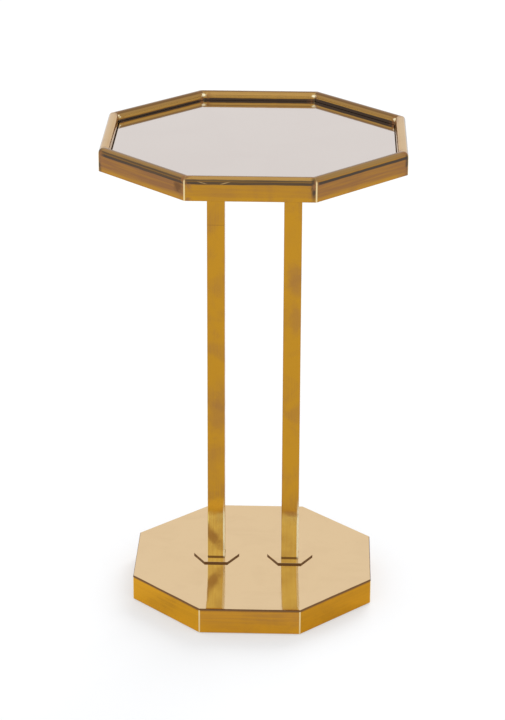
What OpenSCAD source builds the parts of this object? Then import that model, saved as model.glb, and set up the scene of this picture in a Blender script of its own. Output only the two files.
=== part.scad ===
// Octagonal brass tray table.
// A mirror lies in a tray with a raised brass rim, and two square legs join the tray to a weighted base.
// Millimetres. The origin is on the floor under the middle of the base, +Z is up and -Y is the front.

/* [Overall] */
// Height from the floor to the top of the rim
table_height = 550; // [450:1:700]
// Width of the tray across its flats
tray_across = 334; // [280:1:420]
// Width of the base across its flats
base_across = 275; // [240:1:340]
// Height of the base from the floor to its top face
base_height = 31; // [28:0.5:45]

/* [Tray rim] */
// Height of the rim
rim_height = 26; // [22:0.5:40]
// Width of the rim
rim_width = 12; // [10:0.5:20]
// Wall of the hollow rim and of its ledge
rim_wall = 1.5; // [1:0.1:2.5]
// Radius of the two rounded edges that meet along the top of the rim
rim_top_radius = 5.8; // [3:0.1:8]
// Radius of the outer corners of the rim
rim_corner_radius = 2; // [1:0.1:4]
// Width of the ledge inside the rim that carries the deck
ledge_width = 8; // [7.5:0.5:14]

/* [Tray floor] */
// Thickness of the deck board
deck_thickness = 9; // [7:0.5:12]
// Thickness of the foam bed under the mirror
bed_thickness = 1.5; // [0.5:0.1:2]
// Thickness of the mirror
mirror_thickness = 4; // [3:0.5:6]
// Gap between the rim and the deck, the bed or the mirror
tray_gap = 0.5; // [0.2:0.1:1.5]

/* [Legs] */
// Width of each square leg
leg_width = 20; // [16:0.5:28]
// Wall of the leg tube
leg_wall = 1.5; // [1:0.1:3]
// Radius of the long edges of a leg
leg_edge_radius = 1.2; // [0.5:0.1:2.5]
// Distance between the middles of the two legs
leg_spacing = 86; // [72:1:140]

/* [Leg fittings] */
// Width of the hexagonal collars across their flats
collar_across = 46; // [36:0.5:58]
// Thickness of a collar
collar_thickness = 2; // [1:0.1:5]
// Width of the hexagonal flanges across their flats
flange_across = 46; // [40:0.5:58]
// Thickness of the flange at the top of a leg
flange_thickness = 3; // [2:0.1:5]
// Clearance between a leg and the collar or flange around it
sleeve_clearance = 0.2; // [0.1:0.05:0.5]
// Height of the threaded plug in the foot of a leg
plug_height = 25; // [20:1:40]
// Clearance between a plug and the tube around it
plug_clearance = 0.1; // [0.05:0.05:0.3]

/* [Base] */
// Thickness of the brass sheet of the base
base_sheet = 2; // [1:0.1:3]
// Radius of the outer corners of the base
base_corner_radius = 1.5; // [0.8:0.1:3]
// Radius of the rounded edge round the top of the base
base_edge_radius = 1.5; // [0.5:0.1:1.8]
// Height of the lower edge of the skirt above the floor
skirt_lift = 1; // [0.5:0.1:1.5]
// Thickness of the ballast plate
ballast_thickness = 10; // [6:0.5:12]
// Thickness of the bottom board
board_thickness = 6; // [4:0.5:7]
// Thickness of the felt under the base
felt_thickness = 2; // [1.6:0.1:3]
// Gap between the skirt and the ballast plate, the bottom board or the felt
base_gap = 1; // [0.5:0.1:3]
// Diameter of the standoffs that hold the bottom board
standoff_d = 12; // [9:0.5:16]
// Distance of each standoff from the middle of the base
standoff_radius = 95; // [80:1:105]

/* [Fasteners] */
// Diameter of the wood screws in the deck board
deck_screw_d = 3.5; // [3:0.1:4.5]
// Depth of the wood screws in the deck board
deck_screw_bite = 6; // [4:0.5:7]
// Diameter of the domed heads of the wood screws
deck_screw_head_d = 7; // [6:0.1:7.5]
// Height of the domed heads of the wood screws
deck_screw_head_h = 2; // [1.5:0.1:3]
// Width of the slot in a screw head
slot_width = 1; // [0.6:0.1:1.4]
// Depth of the slot in a screw head
slot_depth = 0.8; // [0.4:0.1:1.2]
// Diameter of the bolts in the legs
leg_bolt_d = 8; // [6:0.5:9]
// Depth of the leg bolts in their plugs
leg_bolt_bite = 16; // [10:1:19]
// Width of the leg bolts' heads across their flats
leg_bolt_head_across = 13; // [11:0.5:15]
// Height of the leg bolts' heads
leg_bolt_head_h = 5.3; // [4:0.1:6.5]
// Diameter of the washers under the bolt heads
washer_d = 18; // [16:0.5:30]
// Thickness of the washers
washer_thickness = 1.6; // [1:0.1:2.5]
// Diameter of the screws in the bottom board
board_screw_d = 4; // [3:0.1:5]
// Diameter of the flat heads of the board screws
board_screw_head_d = 8; // [7:0.1:9]
// Depth of the board screws in their standoffs
board_screw_bite = 6; // [4:0.5:8]
// Clearance between a screw or bolt and a plain hole
hole_clearance = 0.25; // [0.1:0.05:0.6]
// Clearance between a screw or bolt and its thread
thread_clearance = 0.05; // [0.02:0.01:0.1]

/* [Hidden] */
$fn = 96;

// Sides of the octagon, counted from +X towards +Y
SIDES = ["right", "back_right", "back", "back_left", "left", "front_left", "front", "front_right"];
side_angle = 360 / len(SIDES);
half_angle = side_angle / 2;

// Overrun of a cut past the face that it opens
overrun = 1;
// Least flat between the two rounded edges of the rim
rim_land = 0.2;

// Tray, from the rim inwards and upwards
rim_bottom = table_height - rim_height;
rim_inside = tray_across - 2 * rim_width;
rim_round = min(rim_top_radius, (rim_width - rim_land) / 2);
deck_across = rim_inside - 2 * tray_gap;
deck_bottom = rim_bottom + rim_wall;
bed_bottom = deck_bottom + deck_thickness;
mirror_bottom = bed_bottom + bed_thickness;

// Legs
leg_places = [[-leg_spacing / 2, 0], [leg_spacing / 2, 0]];
leg_height = deck_bottom - base_height;
plug_width = leg_width - 2 * leg_wall - 2 * plug_clearance;
flange_bottom = deck_bottom - flange_thickness;

// Base, from its top face downwards
plate_bottom = base_height - base_sheet;
plate_edge_radius = min(base_edge_radius, base_sheet);
ballast_bottom = plate_bottom - ballast_thickness;
board_top = felt_thickness + board_thickness;
base_inside = base_across - 2 * base_sheet;
board_across = base_inside - 2 * base_gap;

// Fasteners
deck_hole_d = deck_screw_d + 2 * hole_clearance;
deck_pilot_d = deck_screw_d + 2 * thread_clearance;
bolt_hole_d = leg_bolt_d + 2 * hole_clearance;
bolt_thread_d = leg_bolt_d + 2 * thread_clearance;
board_hole_d = board_screw_d + 2 * hole_clearance;
standoff_bore_d = board_screw_d + 2 * thread_clearance;
board_screw_head_h = (board_screw_head_d - board_screw_d) / 2;
ledge_screw_radius = rim_inside / 2 - ledge_width / 2;
flange_screw_radius = (leg_width + flange_across) / 4;
ledge_screw_places = [for (i = [0:len(SIDES) - 1]) polar(ledge_screw_radius, i * side_angle)];
flange_screw_spots = [for (a = [0:90:270]) polar(flange_screw_radius, a)];
standoff_places = [for (a = [45:90:315]) polar(standoff_radius, a)];

// Colours
brass = [0.72, 0.52, 0.19];
pale_brass = [0.84, 0.73, 0.55];
mirror_silver = [0.85, 0.82, 0.80];
plywood = [0.72, 0.56, 0.38];
foam_grey = [0.35, 0.35, 0.36];
steel = [0.55, 0.56, 0.58];
dark_steel = [0.25, 0.25, 0.27];
felt_green = [0.13, 0.24, 0.17];

// Point at a distance and an angle from the middle
function polar(distance, angle) = distance * [cos(angle), sin(angle)];

// Regular octagon with flats on the X and Y axes
module octagon(across) {
    rotate(half_angle)
        circle(d = across / cos(half_angle), $fn = len(SIDES));
}

// Octagon with rounded corners: a core that reaches to the ends of the arcs, and a disc in each corner
module rounded_octagon(across, radius) {
    reach = (across / 2 - radius) / cos(half_angle);
    last = len(SIDES) - 1;
    polygon([
        for (i = [0:last], turn = [0, side_angle])
            polar(reach, half_angle + i * side_angle) + polar(radius, i * side_angle + turn)
    ]);
    for (i = [0:last])
        translate(polar(reach, half_angle + i * side_angle))
            circle(r = radius);
}

// Hexagon with corners on the X axis
module hexagon(across) {
    circle(d = across / cos(30), $fn = 6);
}

// Square with rounded corners
module rounded_square(width, radius) {
    inset = width / 2 - radius;
    square([width, 2 * inset], center = true);
    square([2 * inset, width], center = true);
    for (x = [-inset, inset], y = [-inset, inset])
        translate([x, y])
            circle(r = radius);
}

// Upright section with both top edges rounded
module rounded_top(width, height, radius) {
    square([width, height - radius]);
    translate([radius, 0])
        square([width - 2 * radius, height]);
    for (x = [radius, width - radius])
        translate([x, height - radius])
            circle(r = radius);
}

// Sector of the plan that belongs to the side at +X, between its two mitres
module mitre_sector(across) {
    polygon([[0, 0], polar(across, -half_angle), polar(across, half_angle)]);
}

// Hollow rim and its ledge in section, with x measured from the middle of the tray
module rim_section() {
    translate([rim_inside / 2, rim_bottom]) {
        difference() {
            rounded_top(rim_width, rim_height, rim_round);
            translate([rim_wall, rim_wall])
                rounded_top(rim_width - 2 * rim_wall, rim_height - 2 * rim_wall, rim_round - rim_wall);
        }
        translate([-ledge_width, 0])
            square([ledge_width, rim_wall]);
    }
}

// One rail of the rim, with a hole for its ledge screw
module rim_rail(side) {
    color(brass)
        rotate(side * side_angle)
            difference() {
                intersection() {
                    rotate([90, 0, 0])
                        linear_extrude(height = tray_across, center = true)
                            rim_section();
                    translate([0, 0, rim_bottom])
                        linear_extrude(height = rim_height)
                            intersection() {
                                mitre_sector(tray_across);
                                rounded_octagon(tray_across, rim_corner_radius);
                            }
                }
                translate([ledge_screw_radius, 0, rim_bottom - overrun])
                    cylinder(d = deck_hole_d, h = rim_wall + 2 * overrun);
            }
}

// Mirror that forms the top
module mirror_panel() {
    color(mirror_silver)
        translate([0, 0, mirror_bottom])
            linear_extrude(height = mirror_thickness)
                octagon(deck_across);
}

// Foam sheet that beds the mirror on the deck
module mirror_bed() {
    color(foam_grey)
        translate([0, 0, bed_bottom])
            linear_extrude(height = bed_thickness)
                octagon(deck_across);
}

// Deck board, with pilot holes for the ledge screws and the flange screws
module deck_board() {
    color(plywood)
        translate([0, 0, deck_bottom])
            difference() {
                linear_extrude(height = deck_thickness)
                    octagon(deck_across);
                for (place = ledge_screw_places)
                    deck_pilot(place);
                for (leg = leg_places, spot = flange_screw_spots)
                    deck_pilot(leg + spot);
            }
}

// Pilot hole from below, as deep as a wood screw reaches
module deck_pilot(place) {
    translate([place.x, place.y, -overrun])
        cylinder(d = deck_pilot_d, h = deck_screw_bite + overrun);
}

// Wood screw with a slotted dome head, set from below against a plate of thickness grip at height zero
module deck_screw(grip) {
    head_r = deck_screw_head_d / 2;
    dome_r = (head_r ^ 2 + deck_screw_head_h ^ 2) / (2 * deck_screw_head_h);
    cylinder(d = deck_screw_d, h = grip + deck_screw_bite);
    difference() {
        rotate_extrude()
            intersection() {
                translate([0, dome_r - deck_screw_head_h])
                    circle(r = dome_r);
                translate([0, -deck_screw_head_h])
                    square([head_r, deck_screw_head_h]);
            }
        translate([-head_r, -slot_width / 2, -deck_screw_head_h - overrun])
            cube([deck_screw_head_d, slot_width, slot_depth + overrun]);
    }
}

// Screws that hold the deck down on the ledges
module ledge_screws() {
    color(steel)
        for (place = ledge_screw_places)
            translate([place.x, place.y, rim_bottom])
                deck_screw(rim_wall);
}

// Flange brazed round the top of a leg
module top_flange(leg) {
    color(brass)
        translate([leg.x, leg.y, flange_bottom])
            linear_extrude(height = flange_thickness)
                difference() {
                    hexagon(flange_across);
                    leg_sleeve();
                    for (spot = flange_screw_spots)
                        translate(spot)
                            circle(d = deck_hole_d);
                }
}

// Screws that hold the flanges to the deck
module flange_screws() {
    color(steel)
        for (leg = leg_places, spot = flange_screw_spots)
            translate([leg.x + spot.x, leg.y + spot.y, flange_bottom])
                deck_screw(flange_thickness);
}

// Outline of the hole round a leg
module leg_sleeve() {
    rounded_square(leg_width + 2 * sleeve_clearance, leg_edge_radius + sleeve_clearance);
}

// Square tube from the base to the deck
module leg(place) {
    color(brass)
        translate([place.x, place.y, base_height])
            linear_extrude(height = leg_height)
                difference() {
                    rounded_square(leg_width, leg_edge_radius);
                    square(leg_width - 2 * leg_wall, center = true);
                }
}

// Threaded plug brazed into the foot of a leg
module leg_plug(leg) {
    color(steel)
        translate([leg.x, leg.y, base_height])
            linear_extrude(height = plug_height)
                difference() {
                    square(plug_width, center = true);
                    circle(d = bolt_thread_d);
                }
}

// Collar plate round the foot of a leg
module collar(leg) {
    color(brass)
        translate([leg.x, leg.y, base_height])
            linear_extrude(height = collar_thickness)
                difference() {
                    hexagon(collar_across);
                    leg_sleeve();
                }
}

// Top of the base, with a rounded edge and a hole for each leg bolt
module base_top_plate() {
    color(pale_brass)
        difference() {
            translate([0, 0, plate_bottom])
                linear_extrude(height = base_sheet)
                    difference() {
                        rounded_octagon(base_across, base_corner_radius);
                        for (leg = leg_places)
                            translate(leg)
                                circle(d = bolt_hole_d);
                    }
            for (i = [0:len(SIDES) - 1])
                rotate(i * side_angle)
                    plate_edge_cut();
        }
}

// Waste outside the rounded edge along one side of the base's top
module plate_edge_cut() {
    translate([base_across / 2 - plate_edge_radius, 0, base_height - plate_edge_radius])
        rotate([90, 0, 0])
            linear_extrude(height = base_across, center = true)
                difference() {
                    square(plate_edge_radius + overrun);
                    circle(r = plate_edge_radius);
                }
}

// One panel of the skirt round the base
module base_skirt(side) {
    color(brass)
        rotate(side * side_angle)
            translate([0, 0, skirt_lift])
                linear_extrude(height = plate_bottom - skirt_lift)
                    intersection() {
                        mitre_sector(base_across);
                        difference() {
                            rounded_octagon(base_across, base_corner_radius);
                            octagon(base_inside);
                        }
                    }
}

// Weight under the base's top
module ballast_plate() {
    color(dark_steel)
        translate([0, 0, ballast_bottom])
            linear_extrude(height = ballast_thickness)
                difference() {
                    octagon(board_across);
                    for (leg = leg_places)
                        translate(leg)
                            circle(d = bolt_hole_d);
                }
}

// Bolts from below the ballast plate up into the plugs
module leg_bolts() {
    seat = ballast_bottom - washer_thickness;
    color(steel)
        for (leg = leg_places)
            translate([leg.x, leg.y, seat]) {
                cylinder(d = leg_bolt_d, h = base_height + leg_bolt_bite - seat);
                translate([0, 0, -leg_bolt_head_h])
                    linear_extrude(height = leg_bolt_head_h)
                        hexagon(leg_bolt_head_across);
            }
}

// Washers between the bolt heads and the ballast plate
module leg_washers() {
    color(steel)
        for (leg = leg_places)
            translate([leg.x, leg.y, ballast_bottom - washer_thickness])
                linear_extrude(height = washer_thickness)
                    difference() {
                        circle(d = washer_d);
                        circle(d = bolt_hole_d);
                    }
}

// Posts welded under the ballast plate, tapped for the board screws
module board_standoffs() {
    color(steel)
        for (place = standoff_places)
            translate([place.x, place.y, board_top])
                linear_extrude(height = ballast_bottom - board_top)
                    difference() {
                        circle(d = standoff_d);
                        circle(d = standoff_bore_d);
                    }
}

// Board that closes the base, countersunk for its screws
module bottom_board() {
    color(plywood)
        translate([0, 0, felt_thickness])
            difference() {
                linear_extrude(height = board_thickness)
                    octagon(board_across);
                for (place = standoff_places)
                    translate(place) {
                        translate([0, 0, -overrun])
                            cylinder(d = board_hole_d, h = board_thickness + 2 * overrun);
                        cylinder(
                            d1 = board_screw_head_d + 2 * hole_clearance,
                            d2 = board_hole_d,
                            h = board_screw_head_h
                        );
                    }
            }
}

// Flat-headed screws from below the board up into the standoffs
module board_screws() {
    color(steel)
        for (place = standoff_places)
            translate([place.x, place.y, felt_thickness])
                difference() {
                    union() {
                        cylinder(d = board_screw_d, h = board_thickness + board_screw_bite);
                        cylinder(d1 = board_screw_head_d, d2 = board_screw_d, h = board_screw_head_h);
                    }
                    translate([-board_screw_head_d / 2, -slot_width / 2, -overrun])
                        cube([board_screw_head_d, slot_width, slot_depth + overrun]);
                }
}

// Felt glued under the bottom board, on which the table stands
module base_felt() {
    color(felt_green)
        linear_extrude(height = felt_thickness)
            octagon(board_across);
}

for (i = [0:len(SIDES) - 1])
    rim_rail(i);
mirror_panel();
mirror_bed();
deck_board();
ledge_screws();
top_flange(leg_places[0]);  // top_flange_left
top_flange(leg_places[1]);  // top_flange_right
flange_screws();
leg(leg_places[0]);  // leg_left
leg(leg_places[1]);  // leg_right
leg_plug(leg_places[0]);  // leg_plug_left
leg_plug(leg_places[1]);  // leg_plug_right
collar(leg_places[0]);  // collar_left
collar(leg_places[1]);  // collar_right
base_top_plate();
for (i = [0:len(SIDES) - 1])
    base_skirt(i);
ballast_plate();
leg_bolts();
leg_washers();
board_standoffs();
bottom_board();
board_screws();
base_felt();
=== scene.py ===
"""Looks of an octagonal brass tray table.

A mirror lies in a tray with a raised brass rim, and two square legs join the tray to a weighted base.
Everything is in metres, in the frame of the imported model: +Z is up, -Y is the front, the floor is at zero.
"""

import logging
import math
from dataclasses import dataclass, field, replace
from enum import Enum
from itertools import accumulate
from typing import Optional, Self, Sequence, Union

import bpy
from mathutils import Matrix, Vector


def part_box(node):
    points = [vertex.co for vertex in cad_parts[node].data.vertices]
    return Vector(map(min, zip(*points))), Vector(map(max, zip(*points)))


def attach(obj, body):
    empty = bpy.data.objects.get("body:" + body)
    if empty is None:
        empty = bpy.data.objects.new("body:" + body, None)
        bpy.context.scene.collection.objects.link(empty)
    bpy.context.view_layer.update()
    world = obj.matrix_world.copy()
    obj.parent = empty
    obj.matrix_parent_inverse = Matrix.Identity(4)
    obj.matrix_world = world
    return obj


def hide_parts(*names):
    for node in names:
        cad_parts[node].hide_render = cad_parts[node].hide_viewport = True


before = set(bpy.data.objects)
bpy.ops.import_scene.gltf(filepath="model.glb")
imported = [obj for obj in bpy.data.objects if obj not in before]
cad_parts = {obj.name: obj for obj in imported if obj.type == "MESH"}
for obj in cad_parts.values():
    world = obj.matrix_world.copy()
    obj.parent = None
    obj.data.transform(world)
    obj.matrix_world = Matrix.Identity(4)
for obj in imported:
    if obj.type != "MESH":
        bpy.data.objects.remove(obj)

LOG = logging.getLogger("tray_table")
BODY = "root"
MM = 0.001


def mm(*lengths: float) -> tuple[float, ...]:
    """Lengths in metres, from millimetres."""
    return tuple(length * MM for length in lengths)


PLACE = "place"
HALF_TURN = math.radians(22.5)
# Farther than any two points of the table are apart.
FAR = 1.0
# Least radius of a plate's corners, and inset of its caps as a share of its half width.
LEAST_RADIUS = 0.3 * MM
CAP_INSET = 0.9
# How far the edge of the painted reflection low on a leg wanders, and half the width of that edge.
FOOT_DRIFT = 6 * MM
FOOT_EDGE = 5 * MM
# How far lines and seams wander, and the depths of polish marks and wiping marks.
LINE_DRIFT = 0.7 * MM
SEAM_DRIFT = 0.3 * MM
MARK_DEPTH = 0.004 * MM
WIPE_DEPTH = 0.01 * MM
# Beside a seam: where dirt thins out, how far the sparks, which are painted highlights, are scattered, where
# they end and their soft edge.
SOIL_REACH = mm(2, 11)
CRUMB = 9 * MM
SPARK_REACH = mm(5, 8)
SPARK_EDGE = 1.5 * MM
# Length over which a seam's painted highlight grows faint round the section.
SEAM_FADING = 3 * MM
# Insets of the rings in the base's top, which lie closer near its edge.
ROLL_INSETS = mm(2.5, 4, 6, 8, 11, 14, 18, 23, 30, 45, 70, 100, 120)

Colour = tuple[float, float, float]
Spot = tuple[float, float, float]
Point = tuple[float, float]
Socket = bpy.types.NodeSocket
Value = Union[Socket, float]
Tint = Union[Socket, Colour]

# Painted reflection in the golds: upright faces are deep orange (FACE_GOLD, BROWN_GOLD, SKIRT_GOLD,
# DEEP_GOLD, BRIGHT_GOLD) as if they mirrored a warm floor, faces that look up are paler (ROUND_GOLD,
# ROUND_BROWN, PALE_GOLD) as if they mirrored a bright room, and INNER_GOLD, CREST_GOLD and STRIP_GOLD are
# painted reflection bands on the rails.
FACE_GOLD: Colour = (0.505, 0.25, 0.021)
ROUND_GOLD: Colour = (0.54, 0.31, 0.085)
INNER_GOLD: Colour = (0.62, 0.42, 0.14)
ROUND_BROWN: Colour = (0.30, 0.174, 0.06)
CREST_GOLD: Colour = (0.57, 0.37, 0.16)
STRIP_GOLD: Colour = (0.61, 0.36, 0.11)
BROWN_GOLD: Colour = (0.45, 0.22, 0.03)
SKIRT_GOLD: Colour = (0.63, 0.30, 0.022)
DEEP_GOLD: Colour = (0.595, 0.272, 0.009)
BRIGHT_GOLD: Colour = (0.70, 0.335, 0.010)
PALE_GOLD: Colour = (0.725, 0.525, 0.295)
# Painted highlights: low on the legs' right front edges and by the rails' inner corners.
GLINT_GOLD: Colour = (1.0, 0.9, 0.6)
VEIL_BROWN: Colour = (0.31, 0.145, 0.055)
DEEP_BROWN: Colour = (0.31, 0.14, 0.014)
RAIL_BROWN: Colour = (0.275, 0.128, 0.05)
# Painted dark reflection along the rails' tops, the base's top edge and the skirt's top; painted shade just
# above the collars; also smudges and a scratch.
EDGE_BROWN: Colour = (0.16, 0.075, 0.03)
# Painted dark reflection on the collars' upright edges.
COLLAR_BROWN: Colour = (0.13, 0.072, 0.035)
# Painted dark reflection on the rails' outer roundings, painted shade down their inner faces by the mirror,
# and dark smudges by the rails' ends.
PAINTED_DARK_AND_SMUDGE: Colour = (0.066, 0.05, 0.04)
WHITE: Colour = (1.0, 1.0, 1.0)


class Side(Enum):
    """Sides of the octagon, counted from +X towards +Y."""

    RIGHT = 0
    BACK_RIGHT = 1
    BACK = 2
    BACK_LEFT = 3
    LEFT = 4
    FRONT_LEFT = 5
    FRONT = 6
    FRONT_RIGHT = 7

    @property
    def word(self) -> str:
        """The side's name as the nodes write it."""
        return self.name.lower()

    @property
    def turn(self) -> float:
        """Angle of the side's outward normal from +X, in radians."""
        return 2 * HALF_TURN * self.value

    @property
    def diagonal(self) -> bool:
        """True for the four sides that lie across the X and Y axes."""
        return self.value % 2 == 1


class Hand(Enum):
    """The two legs and their fittings."""

    LEFT = "left"
    RIGHT = "right"


class Streaks(Enum):
    """Ways in which polish marks run over a piece, as scales along and across it, per metre."""

    LENGTHWISE = (14.0, 420.0)
    SHEET = (5.0, 70.0)


class Grain(Enum):
    """Noises on the surfaces, as features per metre, octaves and twist."""

    CLOUDS = (26.0, 4.0, 0.8)
    MOTTLE = (130.0, 3.0, 0.6)
    WAVES = (34.0, 1.0, 0.0)
    WANDER = (70.0, 2.0, 0.0)
    FOOT = (90.0, 2.0, 0.5)
    CRUMBS = (380.0, 2.0, 0.0)
    SILVER = (9.0, 4.0, 1.2)
    WIPES = (55.0, 3.0, 2.0)
    STAINS = (22.0, 3.0, 0.0)


class Nodes:
    """Lays out the nodes of one tree, of a material or of the room's light."""

    def __init__(self, tree: bpy.types.NodeTree) -> None:
        """Starts on a tree."""
        self.tree = tree

    def node(self, kind: str, inputs: Optional[dict] = None, **settings: object) -> bpy.types.Node:
        """Adds a node.

        Args:
            kind: Blender's name of the node type.
            inputs: Sockets to link, values to set or none to leave, by the input's name or number.
            **settings: Properties of the node itself.

        Returns:
            The new node.
        """
        made = self.tree.nodes.new(kind)
        for key, value in settings.items():
            setattr(made, key, value)
        for key, value in (inputs or {}).items():
            self.feed(made.inputs[key], value)
        return made

    def feed(self, target: Socket, value: object) -> None:
        """Links a socket to an input, or sets the input to a value.

        Args:
            target: The input.
            value: A socket, a number, a colour, a vector, or none to leave the input as it is.
        """
        if isinstance(value, bpy.types.NodeSocket):
            self.tree.links.new(value, target)
        elif target.type == "RGBA":
            target.default_value = (*value, 1.0)
        elif value is not None:
            target.default_value = value

    def position(self) -> Socket:
        """Place on the object, in metres."""
        return self.node("ShaderNodeTexCoord").outputs["Object"]

    def facing(self) -> tuple[Socket, Socket, Socket]:
        """The three parts of the surface's direction, in the object's own axes."""
        return self.split(self.node("ShaderNodeTexCoord").outputs["Normal"])

    def place(self) -> tuple[Socket, Socket, Socket]:
        """Distances along the piece, round its section and to its nearest seam, in metres."""
        return self.split(self.node("ShaderNodeAttribute", attribute_name=PLACE).outputs["Vector"])

    def split(self, vector: Socket) -> tuple[Socket, Socket, Socket]:
        """The X, Y and Z parts of a vector."""
        outputs = self.node("ShaderNodeSeparateXYZ", {0: vector}).outputs
        return outputs[0], outputs[1], outputs[2]

    def join(self, x: Value, y: Value, z: Value = 0.0) -> Socket:
        """A vector from three parts."""
        return self.node("ShaderNodeCombineXYZ", {0: x, 1: y, 2: z}).outputs[0]

    def math(self, operation: str, a: Value, b: Value = 0.0) -> Socket:
        """The result of one arithmetic operation on two values."""
        return self.node("ShaderNodeMath", {0: a, 1: b}, operation=operation).outputs[0]

    def times(self, a: Value, b: Value) -> Socket:
        """The product of two values."""
        return self.math("MULTIPLY", a, b)

    def plus(self, a: Value, b: Value) -> Socket:
        """The sum of two values."""
        return self.math("ADD", a, b)

    def span(self, vector: Socket, centre: Spot, size: Spot, lean: float) -> Socket:
        """Distance from the centre of a smudge, counted in its half widths.

        Args:
            vector: Place on the object.
            centre: The smudge's middle.
            size: Its half widths.
            lean: How far it leans about Y, in degrees.

        Returns:
            The distance's socket.
        """
        turn = (0.0, math.radians(lean), 0.0)
        inputs = {"Vector": vector, "Location": centre, "Rotation": turn, "Scale": size}
        local = self.node("ShaderNodeMapping", inputs, vector_type="TEXTURE").outputs[0]
        return self.node("ShaderNodeVectorMath", {0: local}, operation="LENGTH").outputs["Value"]

    def ramp(self, value: Socket, low: float, high: float, start: float = 0.0, end: float = 1.0) -> Socket:
        """A smooth step from start to end, while a value goes from low to high."""
        inputs = {"Value": value, "From Min": low, "From Max": high, "To Min": start, "To Max": end}
        return self.node("ShaderNodeMapRange", inputs, interpolation_type="SMOOTHSTEP").outputs[0]

    def band(self, value: Socket, low: float, high: float, soft: float) -> Socket:
        """One between two limits and zero outside, with soft edges.

        Args:
            value: The value that is read.
            low: Lower limit.
            high: Upper limit.
            soft: Width of each edge.

        Returns:
            The mask's socket.
        """
        rise = self.ramp(value, low - soft / 2, low + soft / 2)
        fall = self.ramp(value, high - soft / 2, high + soft / 2, 1.0, 0.0)
        return self.times(rise, fall)

    def noise(self, vector: Socket, scale: float, detail: float, bend: float) -> Socket:
        """Cloudy noise around one half, with its features per unit, its octaves and its twist."""
        inputs = {"Vector": vector, "Scale": scale, "Detail": detail, "Distortion": bend}
        return self.node("ShaderNodeTexNoise", inputs).outputs[0]

    def stretched(self, parts: Sequence[Socket], scales: Sequence[float], bend: float) -> Socket:
        """Cloudy noise that has its own features per metre along each part of a place."""
        scaled = [self.times(part, scale) for part, scale in zip(parts, scales)]
        return self.noise(self.join(*scaled), 1.0, 5.0, bend)

    def blend(self, share: Value, a: Tint, b: Tint) -> Socket:
        """A colour between two colours."""
        return self.node("ShaderNodeMix", {0: share, 6: a, 7: b}, data_type="RGBA").outputs[2]

    def bump(self, height: Socket, depth: float, below: Optional[Socket] = None) -> Socket:
        """A normal bumped by a height from zero to one, of a depth in metres, over a coarser bump if any."""
        inputs = {"Strength": 1.0, "Distance": depth, "Height": height, "Normal": below}
        return self.node("ShaderNodeBump", inputs).outputs[0]


class Shader(Nodes):
    """Lays out the nodes of one material, around a Principled shader."""

    def __init__(self, name: str) -> None:
        """Starts an empty material.

        Args:
            name: Name of the material.
        """
        self.material = bpy.data.materials.new(name)
        self.material.use_nodes = True
        super().__init__(self.material.node_tree)
        self.surface = self.tree.nodes["Principled BSDF"]

    def set(self, **values: object) -> None:
        """Feeds the shader's own inputs, with underscores for spaces in their names."""
        for name, value in values.items():
            self.feed(self.surface.inputs[name.replace("_", " ")], value)


class Ground:
    """What the layers of a brass finish lie on: the nodes, the place on the piece and three noises."""

    def __init__(self, shader: Shader, streaks: Streaks) -> None:
        """Lays out the noises.

        Args:
            shader: The material's nodes.
            streaks: How the polish marks run, along the piece or along X on a sheet.
        """
        self.shader = shader
        self.spot = shader.position()
        parts = shader.split(self.spot) if streaks is Streaks.SHEET else shader.place()
        self.marks = shader.stretched(parts, streaks.value, 0.3)
        self.clouds = shader.noise(self.spot, *Grain.CLOUDS.value)
        self.mottle = shader.noise(self.spot, *Grain.MOTTLE.value)


@dataclass(frozen=True)
class Line:
    """A coloured line along a piece, between two distances round its section.

    Args:
        start: Where it starts, in metres.
        end: Where it ends.
        soft: Width of its edges.
        share: How strongly it shows.
        tint: Its colour.
        ragged: How much of it the polish marks break up.
        reach: Least and greatest distance along the piece and the width of those ends, for a short line.
        matt: True for a painted highlight that scatters light instead of mirroring it.
    """

    start: float
    end: float
    soft: float
    share: float
    tint: Colour = PAINTED_DARK_AND_SMUDGE
    ragged: float = 0.0
    reach: Optional[tuple[float, float, float]] = None
    matt: bool = False

    def mask(self, ground: Ground) -> Socket:
        """Where the line shows, from zero to one.

        Args:
            ground: What it lies on.

        Returns:
            The mask's socket.
        """
        shader = ground.shader
        along, girth, _ = shader.place()
        wander = shader.plus(ground.marks, shader.noise(shader.join(along, 0.0), *Grain.WANDER.value))
        drift = shader.times(shader.math("SUBTRACT", wander, 1.0), LINE_DRIFT)
        mask = shader.band(shader.plus(girth, drift), self.start, self.end, self.soft)
        if self.reach is not None:
            mask = shader.times(mask, shader.band(along, *self.reach))
        broken = shader.ramp(ground.marks, 0.36, 0.62, self.share * (1 - self.ragged), self.share)
        return shader.times(mask, broken)


@dataclass(frozen=True)
class Patch:
    """A smudge at one place, with a cloudy edge.

    Args:
        centre: Its middle, in metres.
        size: Its half widths.
        share: How strongly it shows.
        lean: How far it leans about Y, in degrees.
        tint: Its colour.
    """

    centre: Spot
    size: Spot
    share: float
    lean: float = 0.0
    tint: Colour = VEIL_BROWN

    def lay(self, ground: Ground, tint: Socket) -> Socket:
        """Lays the smudge over a colour.

        Args:
            ground: What it lies on.
            tint: The colour underneath.

        Returns:
            The colour with the smudge.
        """
        shader = ground.shader
        reach = shader.span(ground.spot, self.centre, self.size, self.lean)
        ragged = shader.plus(reach, shader.times(ground.mottle, 1.2))
        return shader.blend(shader.ramp(ragged, 0.9, 2.0, self.share, 0.0), tint, self.tint)


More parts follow.
